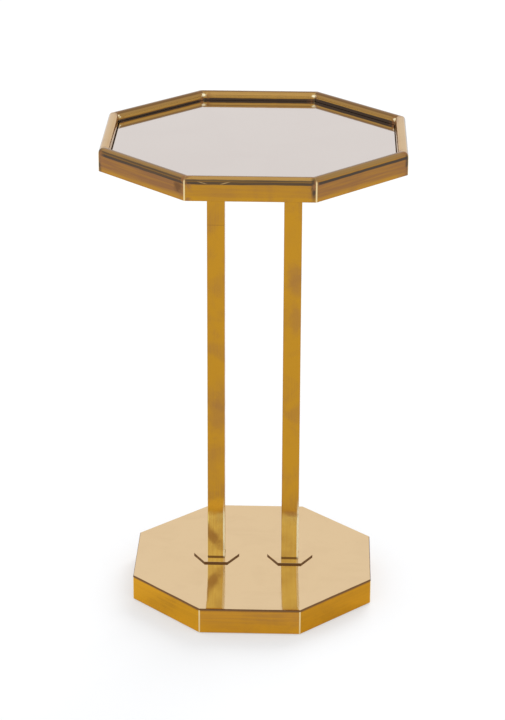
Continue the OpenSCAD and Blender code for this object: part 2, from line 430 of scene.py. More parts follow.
@dataclass(frozen=True)
class Finish:
    """A surface that becomes a material.

    Args:
        name: Name of the material.
    """

    name: str

    def build(self) -> bpy.types.Material:
        """The material, which is made once.

        Returns:
            The material of this name.
        """
        if self.name not in bpy.data.materials:
            self.lay(Shader(self.name))
        return bpy.data.materials[self.name]

    def lay(self, shader: Shader) -> None:
        """Lays out the surface in an empty material."""
        raise NotImplementedError

    def variant(self, word: str, **changes: object) -> Self:
        """A finish of the same kind, with a word added to its name and some values changed."""
        return replace(self, name=f"{self.name}_{word}", **changes)


@dataclass(frozen=True)
class BrassFinish(Finish):
    """Polished brass with smudges, polish marks, pale lines at its mitred corners and coloured lines; much of
    its colour is painted reflection, highlight and shade.

    Args:
        face: Colour of upright faces, deep as a painted reflection of a warm floor.
        top: Colour of faces that look up, paler as a painted reflection of a bright room.
        turned_up: How far a face looks up where the change starts and ends.
        smudge: Colour of the brown smudges.
        smudged: How strongly the smudges show.
        gloss: Lowest and highest roughness.
        streaks: How the polish marks run.
        lines: Lines along the piece.
        patches: Smudges at certain places.
        seam: Colour of the pale line along the mitred corners, a painted highlight.
        seam_width: Width of that line on each piece, or zero.
        seam_fade: Distance round the section from which the seam is faint.
        sparkle: Distances round the section between which the seam has a wide bright spot, a painted
            highlight.
        soiled: How much dirt lies beside a seam.
        foot: Height up to which a leg shows on the front the base's top as a painted reflection.
        foot_drop: How much lower that painted reflection ends on the other sides.
        plate_sheen: Colour of that painted reflection.
        wave: Depth of the slow waves in the surface.
        dish: How far the surface rises towards the edge, for a flat sheet.
        dish_reach: Distance from the middle at which it has risen that far.
    """

    face: Colour
    top: Colour
    turned_up: tuple[float, float] = (0.15, 0.6)
    smudge: Colour = VEIL_BROWN
    smudged: float = 0.5
    gloss: tuple[float, float] = (0.10, 0.2)
    streaks: Streaks = Streaks.LENGTHWISE
    lines: tuple[Line, ...] = ()
    patches: tuple[Patch, ...] = ()
    seam: Colour = (0.86, 0.68, 0.36)
    seam_width: float = 0.0
    seam_fade: float = FAR
    sparkle: Optional[tuple[float, float]] = None
    soiled: float = 0.0
    foot: Optional[float] = None
    foot_drop: float = 30 * MM
    plate_sheen: Colour = (0.82, 0.66, 0.20)
    wave: float = 0.05 * MM
    dish: float = 0.0
    dish_reach: float = 140 * MM

    def lay(self, shader: Shader) -> None:
        """Lays the colours over each other, from the bare metal to the painted highlights at the corners.

        Args:
            shader: The empty material's nodes.
        """
        ground = Ground(shader, self.streaks)
        # Painted reflection: upright faces take the deep face colour, faces that look up the paler top
        # colour.
        look_up = shader.ramp(shader.facing()[2], *self.turned_up)
        # Paler low on a leg: a painted reflection of the base's top.
        tint = self._foot(ground, shader.blend(look_up, self.face, self.top))
        rubbed = shader.ramp(ground.marks, 0.3, 0.65, 0.35, 1.0)
        dirt = shader.times(shader.ramp(ground.clouds, 0.42, 0.7), rubbed)
        tint = shader.blend(shader.times(dirt, self.smudged), tint, self.smudge)
        metal: Value = 1.0
        for line in self.lines:
            mask = line.mask(ground)
            tint = shader.blend(mask, tint, line.tint)
            if line.matt:
                metal = shader.math("SUBTRACT", metal, mask)
        for patch in self.patches:
            tint = patch.lay(ground, tint)
        tint = self._seams(ground, tint)
        gloss = shader.plus(ground.clouds, shader.times(ground.marks, 0.4))
        shader.set(Base_Color=tint, Metallic=metal, Roughness=shader.ramp(gloss, 0.5, 0.95, *self.gloss),
                   Normal=self._relief(ground))

    def _foot(self, ground: Ground, tint: Socket) -> Socket:
        """Adds a paler colour up to the height of the foot, where there is one: a painted reflection of the
        base's top.

        Args:
            ground: What it lies on.
            tint: The colour underneath.

        Returns:
            The colour with that painted reflection.
        """
        if self.foot is None:
            return tint
        shader = ground.shader
        height = shader.split(ground.spot)[2]
        drift = shader.times(shader.noise(ground.spot, *Grain.FOOT.value), FOOT_DRIFT)
        drop = shader.ramp(shader.facing()[1], -0.9, -0.5, 0.0, self.foot_drop)
        level = shader.plus(shader.plus(height, drift), drop)
        edge = self.foot + FOOT_DRIFT / 2
        plate_sheen = shader.ramp(level, edge - FOOT_EDGE, edge + FOOT_EDGE, 1.0, 0.0)
        streaks = shader.ramp(ground.marks, 0.36, 0.58, 0.7, 1.0)
        return shader.blend(shader.times(plate_sheen, streaks), tint, self.plate_sheen)

    def _seams(self, ground: Ground, tint: Socket) -> Socket:
        """Adds pale lines along the mitred corners, which are painted highlights, and the dirt beside them,
        where the piece has them.

        Args:
            ground: What they lie on.
            tint: The colour underneath.

        Returns:
            The colour with the seams.
        """
        if self.seam_width == 0.0:
            return tint
        shader = ground.shader
        _, girth, seam = shader.place()
        crusts = shader.ramp(ground.mottle, 0.45, 0.62)
        dirt = shader.times(shader.ramp(seam, *SOIL_REACH, self.soiled, 0.0), crusts)
        tint = shader.blend(dirt, tint, self.smudge)
        # The pale line along each mitred corner is a painted highlight.
        edge = shader.plus(seam, shader.times(ground.clouds, SEAM_DRIFT))
        share = shader.ramp(girth, self.seam_fade, self.seam_fade + SEAM_FADING, 0.9, 0.1)
        sheen = shader.ramp(edge, 0.6 * self.seam_width, 1.4 * self.seam_width, 1.0, 0.0)
        tint = shader.blend(shader.times(sheen, share), tint, self.seam)
        if self.sparkle is None:
            return tint
        # Bright spots by the inner corners are painted highlights.
        crumbs = shader.times(shader.noise(ground.spot, *Grain.CRUMBS.value), CRUMB)
        near = shader.ramp(shader.plus(seam, crumbs), *SPARK_REACH, 1.0, 0.0)
        bright = shader.times(near, shader.band(girth, *self.sparkle, SPARK_EDGE))
        return shader.blend(bright, tint, GLINT_GOLD)

    def _relief(self, ground: Ground) -> Socket:
        """Bumps the surface with slow waves, fine marks and the rise of a sheet towards its edge.

        Args:
            ground: The nodes, the place and the noises.

        Returns:
            The normal's socket.
        """
        shader = ground.shader
        below = None
        if self.dish > 0.0:
            x, y, _ = shader.split(ground.spot)
            square = shader.plus(shader.times(x, x), shader.times(y, y))
            rise = shader.math("POWER", shader.math("DIVIDE", square, self.dish_reach ** 2), 2.0)
            below = shader.bump(rise, self.dish)
        waves = shader.bump(shader.noise(ground.spot, *Grain.WAVES.value), self.wave, below)
        return shader.bump(ground.marks, MARK_DEPTH, waves)


@dataclass(frozen=True)
class MirrorFinish(Finish):
    """Silvered glass with faint wiping marks.

    Args:
        name: Name of the material.
        silver: Colour of the glass without marks, dim and warm as a painted reflection of a warm grey
            backdrop.
        wiped: Colour of the wiping marks.
    """

    name: str = "silvered_glass"
    # A dim, warm grey silver: a painted reflection of a warm grey backdrop.
    silver: Colour = (0.632, 0.568, 0.535)
    wiped: Colour = (0.622, 0.557, 0.525)

    def lay(self, shader: Shader) -> None:
        """Lays out the silver and the wiping marks.

        Args:
            shader: The empty material's nodes.
        """
        spot = shader.position()
        clouds = shader.noise(spot, *Grain.SILVER.value)
        wipes = shader.noise(shader.join(*shader.split(spot)[:2]), *Grain.WIPES.value)
        tint = shader.blend(shader.ramp(clouds, 0.35, 0.7), self.silver, self.wiped)
        gloss = shader.ramp(wipes, 0.35, 0.75, 0.03, 0.075)
        shader.set(Base_Color=tint, Metallic=1.0, Roughness=gloss, Normal=shader.bump(clouds, WIPE_DEPTH))


@dataclass(frozen=True)
class DullFinish(Finish):
    """A hidden or plain material: a mottled colour with a grain.

    Args:
        light: Lighter colour.
        dark: Darker colour.
        gloss: Lowest and highest roughness.
        metal: True for a metal.
        scales: Grain per metre along X, Y and Z.
        depth: Depth of the grain.
    """

    light: Colour
    dark: Colour
    gloss: tuple[float, float]
    metal: bool = False
    scales: tuple[float, float, float] = (400.0, 400.0, 400.0)
    depth: float = 0.02 * MM

    def lay(self, shader: Shader) -> None:
        """Lays out the colour and the grain.

        Args:
            shader: The empty material's nodes.
        """
        spot = shader.position()
        grain = shader.stretched(shader.split(spot), self.scales, 0.6)
        clouds = shader.ramp(shader.noise(spot, *Grain.STAINS.value), 0.2, 0.7, 0.4, 1.0)
        mottle = shader.times(shader.ramp(grain, 0.3, 0.7), clouds)
        shader.set(Base_Color=shader.blend(mottle, self.light, self.dark), Metallic=float(self.metal),
                   Roughness=shader.ramp(grain, 0.3, 0.7, *self.gloss), Normal=shader.bump(grain, self.depth))


class Draft:
    """Collects the loops of points of one piece, and puts the piece in place of its node."""

    def __init__(self, node: str) -> None:
        """Starts an empty draft.

        Args:
            node: The node that the piece stands for.
        """
        self.node = node
        self.points: list[Vector] = []
        self.places: list[Vector] = []
        self.faces: list[tuple[int, ...]] = []

    def loop(self, points: Sequence[Vector], places: Sequence[Vector]) -> list[int]:
        """Adds a loop of points.

        Args:
            points: Their places in the frame.
            places: Their distances along the piece, round its section and to its nearest seam.

        Returns:
            The points' numbers.
        """
        first = len(self.points)
        self.points.extend(points)
        self.places.extend(places)
        return list(range(first, len(self.points)))

    def bridge(self, loops: Sequence[list[int]], ring: bool = False) -> None:
        """Joins closed loops of equal length, one to the next.

        Args:
            loops: The loops in order.
            ring: True if the last one joins the first.
        """
        pairs = list(zip(loops, loops[1:]))
        if ring:
            pairs.append((loops[-1], loops[0]))
        for a, b in pairs:
            count = len(a)
            for i in range(count):
                after = (i + 1) % count
                self.faces.append((a[i], a[after], b[after], b[i]))

    def cap(self, loop: list[int], turned: bool = False) -> None:
        """Closes a loop with one face."""
        self.faces.append(tuple(reversed(loop)) if turned else tuple(loop))

    def octagons(self, half_across: float, profile: Sequence[Point], corner: float, spans: int,
                 turns: int) -> None:
        """Adds a closed octagonal plate.

        Args:
            half_across: Half its width across the flats.
            profile: Insets from its edge and heights, from the middle below to the middle above.
            corner: Radius of its corners.
            spans: Segments along each straight.
            turns: Segments of each half corner.
        """
        loops = []
        for inset, height in profile:
            plan = octagon(half_across - inset, max(corner - inset, LEAST_RADIUS), spans, turns)
            points = [point + Vector((0, 0, height)) for point in plan]
            loops.append(self.loop(points, [Vector((point.x, inset, FAR)) for point in points]))
        self.bridge(loops)
        self.cap(loops[0], turned=True)
        self.cap(loops[-1])

    def make(self, finish: Finish, sharp: float = 38.0) -> bpy.types.Object:
        """Makes the piece, puts it in place of its node and reports it.

        Args:
            finish: Its finish.
            sharp: Least angle of an edge that stays sharp, in degrees.

        Returns:
            The piece, with even shading.
        """
        name = f"{self.node}_dressed"
        mesh = bpy.data.meshes.new(name)
        mesh.from_pydata(self.points, [], self.faces)
        places = mesh.attributes.new(PLACE, "FLOAT_VECTOR", "POINT")
        places.data.foreach_set("vector", [part for place in self.places for part in place])
        mesh.materials.append(finish.build())
        mesh.shade_smooth()
        mesh.set_sharp_from_angle(angle=math.radians(sharp))
        mesh.validate()
        mesh.update()
        piece = bpy.data.objects.new(name, mesh)
        bpy.context.scene.collection.objects.link(piece)
        even = piece.modifiers.new("even_shading", "WEIGHTED_NORMAL")
        even.keep_sharp = True
        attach(piece, BODY)
        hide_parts(self.node)
        LOG.info("piece %s stands for %s", name, self.node)
        return piece


def dress(node: str, finish: Finish) -> None:
    """Gives a node of the frame its finish and reports it.

    Args:
        node: The node's name.
        finish: The finish.
    """
    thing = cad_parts[node]
    if not thing.material_slots:
        thing.data.materials.append(None)
    for slot in thing.material_slots:
        slot.material = finish.build()
    LOG.info("node %s is finished in %s", node, finish.name)


def arc(centre: Point, radius: float, start: float, end: float, steps: int) -> list[Point]:
    """Points along an arc, from a start to an end angle in degrees, both ends among them."""
    angles = [math.radians(start + (end - start) * i / steps) for i in range(steps + 1)]
    return [(centre[0] + radius * math.cos(a), centre[1] + radius * math.sin(a)) for a in angles]


def girths(section: Sequence[Point]) -> list[float]:
    """Distance of each point of a section from its first one, along the section."""
    return [0.0, *accumulate(math.dist(a, b) for a, b in zip(section, section[1:]))]


def side_stations(half_across: float, radius: float, spans: int, turns: int) -> list[Spot]:
    """Plan of one side of a rounded octagon that faces +X.

    Args:
        half_across: Distance of the side from the middle.
        radius: Radius of the corners, of which the side has half at each end.
        spans: Number of segments in the straight part.
        turns: Number of segments in each half corner.

    Returns:
        For each point its X, its Y and its distance from the nearest corner's middle.
    """
    reach = half_across * math.tan(HALF_TURN)
    tangent = radius * math.tan(HALF_TURN)
    half = reach - tangent
    bend = math.degrees(HALF_TURN)
    corner = arc((half_across - radius, half), radius, 0.0, bend, turns)
    length = radius * HALF_TURN
    ahead = [(x, y, length * (1 - i / turns)) for i, (x, y) in enumerate(corner)]
    straight = []
    for i in range(1, spans):
        y = half * (2 * i / spans - 1)
        straight.append((half_across, y, half - abs(y) + length))
    behind = [(x, -y, gap) for x, y, gap in reversed(ahead)]
    return behind + straight + ahead


def octagon(half_across: float, radius: float, spans: int, turns: int) -> list[Vector]:
    """Closed plan of a rounded octagon, without doubled points, at height zero."""
    side = [Vector((x, y, 0.0)) for x, y, _ in side_stations(half_across, radius, spans, turns)[:-1]]
    return [Matrix.Rotation(which.turn, 4, "Z") @ point for which in Side for point in side]


def slab(node: str, arris: float, corner: float, finish: Finish) -> bpy.types.Object:
    """Builds a flat octagonal slab with chamfered edges, of its node's size.

    Args:
        node: The node that it stands for.
        arris: Width of its chamfers.
        corner: Radius of its corners.
        finish: Its finish.

    Returns:
        The slab, in place of its node.
    """
    low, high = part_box(node)
    profile = [(CAP_INSET * high.x, low.z), (arris, low.z), (0.0, low.z + arris)]
    profile += [(inset, low.z + high.z - height) for inset, height in reversed(profile)]
    draft = Draft(node)
    draft.octagons(high.x, profile, corner, 12, 2)
    return draft.make(finish, 25.0)


@dataclass
class MitredRing:
    """A ring of eight mitred pieces with one section, brazed at the corners.

    Args:
        prefix: Start of the pieces' names.
        slot: Name of a material slot; not used.
        half_across: Half the width across the flats.
        section: The section, from the outer lower edge upwards, as insets from the outer face and heights.
        corner: Radius of the outer corners.
        inner_corner: Least radius of any corner, at the inside.
        spans: Segments along each straight.
        turns: Segments of each half corner.
    """

    prefix: str
    slot: str
    half_across: float
    section: Sequence[Point]
    corner: float
    inner_corner: float
    spans: int = 24
    turns: int = 5

    def build(self, side: Side, finish: Finish) -> None:
        """Builds one of the eight pieces.

        Args:
            side: Its side.
            finish: Its finish.
        """
        draft = Draft(f"{self.prefix}_{side.word}")
        turn = Matrix.Rotation(side.turn, 4, "Z")
        plans = []
        for inset, _ in self.section:
            radius = max(self.corner - inset, self.inner_corner)
            plans.append(side_stations(self.half_across - inset, radius, self.spans, self.turns))
        rounds = girths(self.section)
        loops = []
        for station in range(len(plans[0])):
            points, places = [], []
            for (_, height), plan, girth in zip(self.section, plans, rounds):
                x, y, gap = plan[station]
                points.append(turn @ Vector((x, y, height)))
                places.append(Vector((y + side.value * FAR, girth, gap)))
            loops.append(draft.loop(points, places))
        draft.bridge(loops)
        draft.cap(loops[0])
        draft.cap(loops[-1], turned=True)
        draft.make(finish)


@dataclass(frozen=True)
class Crest:
    """The painted reflection along the top of a rail: a brown line, and pale strips beside it.

    Args:
        sheen: How strongly the pale strips show.
        brown: How strongly the line shows.
        inwards: How far the line reaches down the inner side.
    """

    sheen: float
    brown: float
    inwards: float


STRAIGHT_CREST = Crest(0.75, 0.85, 2.7 * MM)
DIAGONAL_CREST = Crest(0.15, 0.7, 4.8 * MM)


@dataclass
class Tray:
    """The tray: a rim of eight rounded rails with ledges, the mirror and its bed.

    Args:
        rim_width: Width of a rail.
        rim_round: Radius of the two rounded edges along its top.
        rim_corner: Radius of its outer corners.
        inner_corner: Radius of its inner corners, and of those of the mirror and the bed.
        lip: Radius of its lower outer edge.
        ledge: Width of the ledge inside it.
        wall: Thickness of the ledge.
        arris: Ground edge of the mirror.
        bed_edge: Cut edge of the bed.
    """

    rim_width: float = 12 * MM
    rim_round: float = 5.8 * MM
    rim_corner: float = 2 * MM
    inner_corner: float = 0.8 * MM
    lip: float = 0.5 * MM
    ledge: float = 8 * MM
    wall: float = 1.5 * MM
    arris: float = 0.5 * MM
    bed_edge: float = 0.3 * MM
    half_across: float = field(init=False)
    top: float = field(init=False)
    bottom: float = field(init=False)

    def __post_init__(self) -> None:
        """Takes the tray's outer sizes from the frame."""
        low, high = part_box("rim_rail_right")
        self.half_across = high.x
        self.top = high.z
        self.bottom = low.z

    @property
    def face_height(self) -> float:
        """Height of the upright outer face, below the rounding."""
        return self.top - self.bottom - self.rim_round

    @property
    def turn(self) -> float:
        """Distance round the section to the start of the outer rounding."""
        return self.face_height + (math.pi / 2 - 1) * self.lip

    @property
    def crest(self) -> float:
        """Distance round the section to the middle of the top."""
        return self.turn + math.pi / 2 * self.rim_round + self.rim_width / 2 - self.rim_round

    @property
    def inner_face(self) -> float:
        """Distance round the section to the top of the inner upright face."""
        return 2 * self.crest - self.turn

    def section(self) -> list[Point]:
        """Section of a rail, with its ledge.

        Returns:
            Insets from the outer face and heights.
        """
        shoulder = self.top - self.rim_round
        outside = arc((self.lip, self.bottom + self.lip), self.lip, 270, 180, 3)
        outside += [(0.0, shoulder - i) for i in (4 * MM, 1.2 * MM)]
        outside += arc((self.rim_round, shoulder), self.rim_round, 180, 90, 12)
        inside = arc((self.rim_width - self.rim_round, shoulder), self.rim_round, 90, 0, 12)
        ledge_top = self.bottom + self.wall
        ledge_end = self.rim_width + self.ledge
        ledge = [(self.rim_width, ledge_top), (ledge_end, ledge_top), (ledge_end, self.bottom)]
        return outside + inside + ledge

    def lines(self, crown: Optional[Crest], veil: float, dark_band: float = 3.6 * MM,
              dark: float = 1.4 * MM) -> tuple[Line, ...]:
        """A brown veil on the face, painted dark reflection on the outer rounding, painted shade down by the
        mirror, and painted reflection bands on the inner rounding and along the top.

        Args:
            crown: The painted brown line and pale strips along the top, or none for one pale band there.
            veil: How strongly the veil shows.
            dark_band: How far the painted dark reflection goes up the outer rounding.
            dark: How far below the inner rounding the painted shade by the mirror starts.

        Returns:
            The lines of a rail.
        """
        turn, crest, inner = self.turn, self.crest, self.inner_face
        lines = [
            Line(5 * MM, turn, 5 * MM, veil, RAIL_BROWN, 0.4),
            # Painted dark reflection on the outer rounding.
            Line(turn - 1.7 * MM, turn + dark_band, 1.0 * MM, 0.5),
            Line(turn - 1.7 * MM, turn + 1.1 * MM, 0.8 * MM, 0.9, ragged=0.15),
            Line(turn + dark_band - 1.9 * MM, turn + dark_band, 1.2 * MM, 0.75, ragged=0.4),
            # A paler band on the inner rounding, a painted reflection.
            Line(inner - 2.2 * MM, inner + 1.2 * MM, 1.2 * MM, 0.5, INNER_GOLD),
            # Painted shade down the inner face by the mirror.
            Line(inner + dark, inner + 20 * MM, 1.0 * MM, 0.97 if crown else 0.5),
        ]
        # Along the top, painted reflection: pale strips and brown lines, or one pale band.
        if crown:
            lines += [
                Line(crest - 5.6 * MM, crest + 6.6 * MM, 1.2 * MM, crown.sheen, STRIP_GOLD),
                Line(crest - 1.5 * MM, crest + crown.inwards, 0.9 * MM, crown.brown, EDGE_BROWN, 0.2),
                Line(crest + 6.9 * MM, crest + 8.1 * MM, 0.8 * MM, 0.5, EDGE_BROWN, 0.2),
            ]
        else:
            lines.append(Line(crest - 2.2 * MM, crest + 2.2 * MM, 2.6 * MM, 0.8, CREST_GOLD))
            lines.append(Line(crest + 5.8 * MM, crest + 6.8 * MM, 1.0 * MM, 0.3, EDGE_BROWN))
        return tuple(lines)

    def patches(self) -> tuple[Patch, ...]:
        """Dark smudges by the ends of the front rail and its neighbours, and two scratches in its painted
        dark band.

        Returns:
            The smudges of all rails.
        """
        end = self.half_across * math.tan(HALF_TURN)
        middle, front = (self.bottom + self.top) / 2, -self.half_across
        shoulder = self.top - self.rim_round
        upright = mm(4.5, 4.5, 40)
        scratch = mm(5, 4, 0.5)
        return (
            Patch((-50 * MM, front, shoulder), scratch, 0.7, 14.0, CREST_GOLD),
            Patch((-26 * MM, front, shoulder), scratch, 0.7, -14.0, CREST_GOLD),
            Patch((end - 3 * MM, front, middle + 2 * MM), mm(3, 9, 13), 0.95, tint=PAINTED_DARK_AND_SMUDGE),
            Patch((-end - 7 * MM, front + 7 * MM, middle), mm(6, 7, 6), 0.9, tint=EDGE_BROWN),
            Patch((front, -end, middle), upright, 0.95, tint=PAINTED_DARK_AND_SMUDGE),
            Patch((-front, -end, middle), upright, 0.95, tint=PAINTED_DARK_AND_SMUDGE),
        )

    def finishes(self, rail: BrassFinish) -> dict[Side, BrassFinish]:
        """Finishes of the eight rails.

        Args:
            rail: What all have in common.

        Returns:
            The finish of each rail, with the reflection painted for its side: browner on the diagonals, and
            without brown lines on the left and right.
        """
        # Each side's copy of the rail finish paints the reflection that side shows.
        brown = {"face": BROWN_GOLD, "top": ROUND_BROWN}
        shaded = rail.variant("shaded", **brown, lines=self.lines(DIAGONAL_CREST, 1.0, 4.2 * MM, 0.4 * MM))
        thin = rail.variant("thin", **brown, lines=self.lines(DIAGONAL_CREST, 0.9, 1.4 * MM))
        clean = rail.variant("clean", **brown, lines=self.lines(DIAGONAL_CREST, 1.0, dark=2 * MM))
        plain = rail.variant("plain", lines=self.lines(None, 0.3, 4.2 * MM))
        chosen = {side: shaded if side.diagonal else rail for side in Side}
        chosen.update({Side.LEFT: plain, Side.RIGHT: plain, Side.FRONT_RIGHT: thin, Side.BACK_LEFT: clean})
        return chosen

    def build(self, rail: BrassFinish, glass: MirrorFinish, foam: DullFinish) -> None:
        """Builds the rails, the mirror and the bed.

        Args:
            rail: What the rails' finishes have in common.
            glass: Finish of the mirror.
            foam: Finish of the bed.
        """
        ring = MitredRing("rim_rail", "rim_brass", self.half_across, self.section(), self.rim_corner,
                          self.inner_corner)
        for side, finish in self.finishes(rail).items():
            ring.build(side, finish)
        slab("mirror_panel", self.arris, self.inner_corner, glass)
        bed = slab("mirror_bed", self.bed_edge, self.inner_corner, foam)


@dataclass
class Legs:
    """The two square tubes and the hexagonal collars round their feet.

    Args:
        wall: Wall of a tube.
        edge: Radius of a tube's long edges.
        inner_edge: Radius of the long edges inside it.
        broken: Width of the broken edges at its ends.
        plate_sheen: Height over the base up to which a leg shows the base's top as a painted reflection.
        collar_across: Width of a collar across its flats.
        clearance: Gap between a collar and its leg.
        chamfer: Chamfer of a collar's upper edge.
    """

    wall: float = 1.5 * MM
    edge: float = 1.2 * MM
    inner_edge: float = 0.2 * MM
    broken: float = 0.3 * MM
    plate_sheen: float = 58 * MM
    collar_across: float = 46 * MM
    clearance: float = 0.2 * MM
    chamfer: float = 0.12 * MM

    def lines(self) -> tuple[Line, ...]:
        """A painted highlight low on the front edges to the right, and painted shade in a ring just above the
        collar.

        Returns:
            The lines of a leg.
        """
        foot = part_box("collar_left")[1].z
        whole = (-1.0, 1.0, 1 * MM)
        low = (0.0, foot + 60 * MM, 40 * MM)
        return (
            Line(-1 * MM, 3 * MM, 0.6 * MM, 0.95, GLINT_GOLD, reach=low, matt=True),
            Line(*whole, 0.85, EDGE_BROWN, reach=(foot - 5 * MM, foot + 1.6 * MM, 0.5 * MM)),
        )

    def collar_lines(self) -> tuple[Line, ...]:
        """The dark upright edge of a collar, a painted dark reflection."""
        return (Line(-1 * MM, 1.02 * MM, 0.1 * MM, 0.95, COLLAR_BROWN),)

    def build(self, tubes: dict[Hand, BrassFinish], collar: BrassFinish) -> None:
        """Builds both legs and both collars.

        Args:
            tubes: Finish of each leg.
            collar: Finish of the collars.
        """
        for hand in Hand:
            self._tube(hand, tubes[hand])
            self._collar(hand, collar)

    def _tube(self, hand: Hand, finish: BrassFinish) -> None:
        """Builds one square tube with rounded long edges, open at both ends.

        Args:
            hand: Which leg it is.
            finish: Its finish.
        """
        low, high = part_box(f"leg_{hand.value}")
        middle = (low + high) / 2
        half = (high.x - low.x) / 2
        draft = Draft(f"leg_{hand.value}")
        outer = rounded_square(half, self.edge, 6)
        inner = rounded_square(half - self.wall, self.inner_edge, 6)
        rounds = girths([(point.x, point.y) for point in outer])
        end = 1 - self.broken / half
        rings = [(outer, end, low.z), (outer, 1.0, low.z + self.broken), (outer, 1.0, high.z - self.broken),
                 (outer, end, high.z), (inner, 1.0, high.z), (inner, 1.0, low.z)]
        loops = []
        for plan, share, height in rings:
            points = [Vector((middle.x + p.x * share, middle.y + p.y * share, height)) for p in plan]
            loops.append(draft.loop(points, [Vector((height, girth, FAR)) for girth in rounds]))
        draft.bridge(loops, ring=True)
        draft.make(finish)

    def _collar(self, hand: Hand, finish: BrassFinish) -> None:
        """Builds one hexagonal plate with a square hole.

        Args:
            hand: Which leg it is for.
            finish: Its finish.
        """
        low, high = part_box(f"collar_{hand.value}")
        middle = (low + high) / 2
        leg_low, leg_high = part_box(f"leg_{hand.value}")
        hole = (leg_high.x - leg_low.x) / 2 + self.clearance
        flat = self.collar_across / 2
        angles = [math.radians(5 * i) for i in range(72)]
        steps = [(True, 0.0, low.z), (True, 0.0, high.z - self.chamfer), (True, self.chamfer, high.z),
                 (False, 0.0, high.z), (False, 0.0, low.z)]
        draft = Draft(f"collar_{hand.value}")
        loops = []
        girth = 0.0
        for outer, inset, height in steps:
            points, places = [], []
            for angle in angles:
                reach = hexagon_reach(flat - inset, angle) if outer else square_reach(hole, angle)
                points.append(middle + Vector((reach * math.cos(angle), reach * math.sin(angle), 0.0)))
                points[-1].z = height
                places.append(Vector((angle * flat, girth, FAR)))
            loops.append(draft.loop(points, places))
            girth += MM
        draft.bridge(loops, ring=True)
        draft.make(finish, 20.0)


def rounded_square(half: float, radius: float, turns: int) -> list[Vector]:
    """Closed plan of a square with rounded corners.

    Args:
        half: Half its width.
        radius: Radius of its corners.
        turns: Segments of each corner.

    Returns:
        Its points, counter-clockwise from the lower right.
    """
    points = []
    inset = half - radius
    for quarter, (x, y) in enumerate(((1, -1), (1, 1), (-1, 1), (-1, -1))):
        start = 90 * quarter - 90
        corner = arc((x * inset, y * inset), radius, start, start + 90, turns)
        points += [Vector(point) for point in corner]
    return points


def hexagon_reach(flat: float, angle: float) -> float:
    """Distance from the middle to the outline of a hexagon with corners on the X axis, at an angle."""
    sector = math.radians(60)
    return flat / math.cos((angle % sector) - sector / 2)


def square_reach(half: float, angle: float) -> float:
    """Distance from the middle to the outline of a square, at an angle."""
    return half / max(abs(math.cos(angle)), abs(math.sin(angle)))


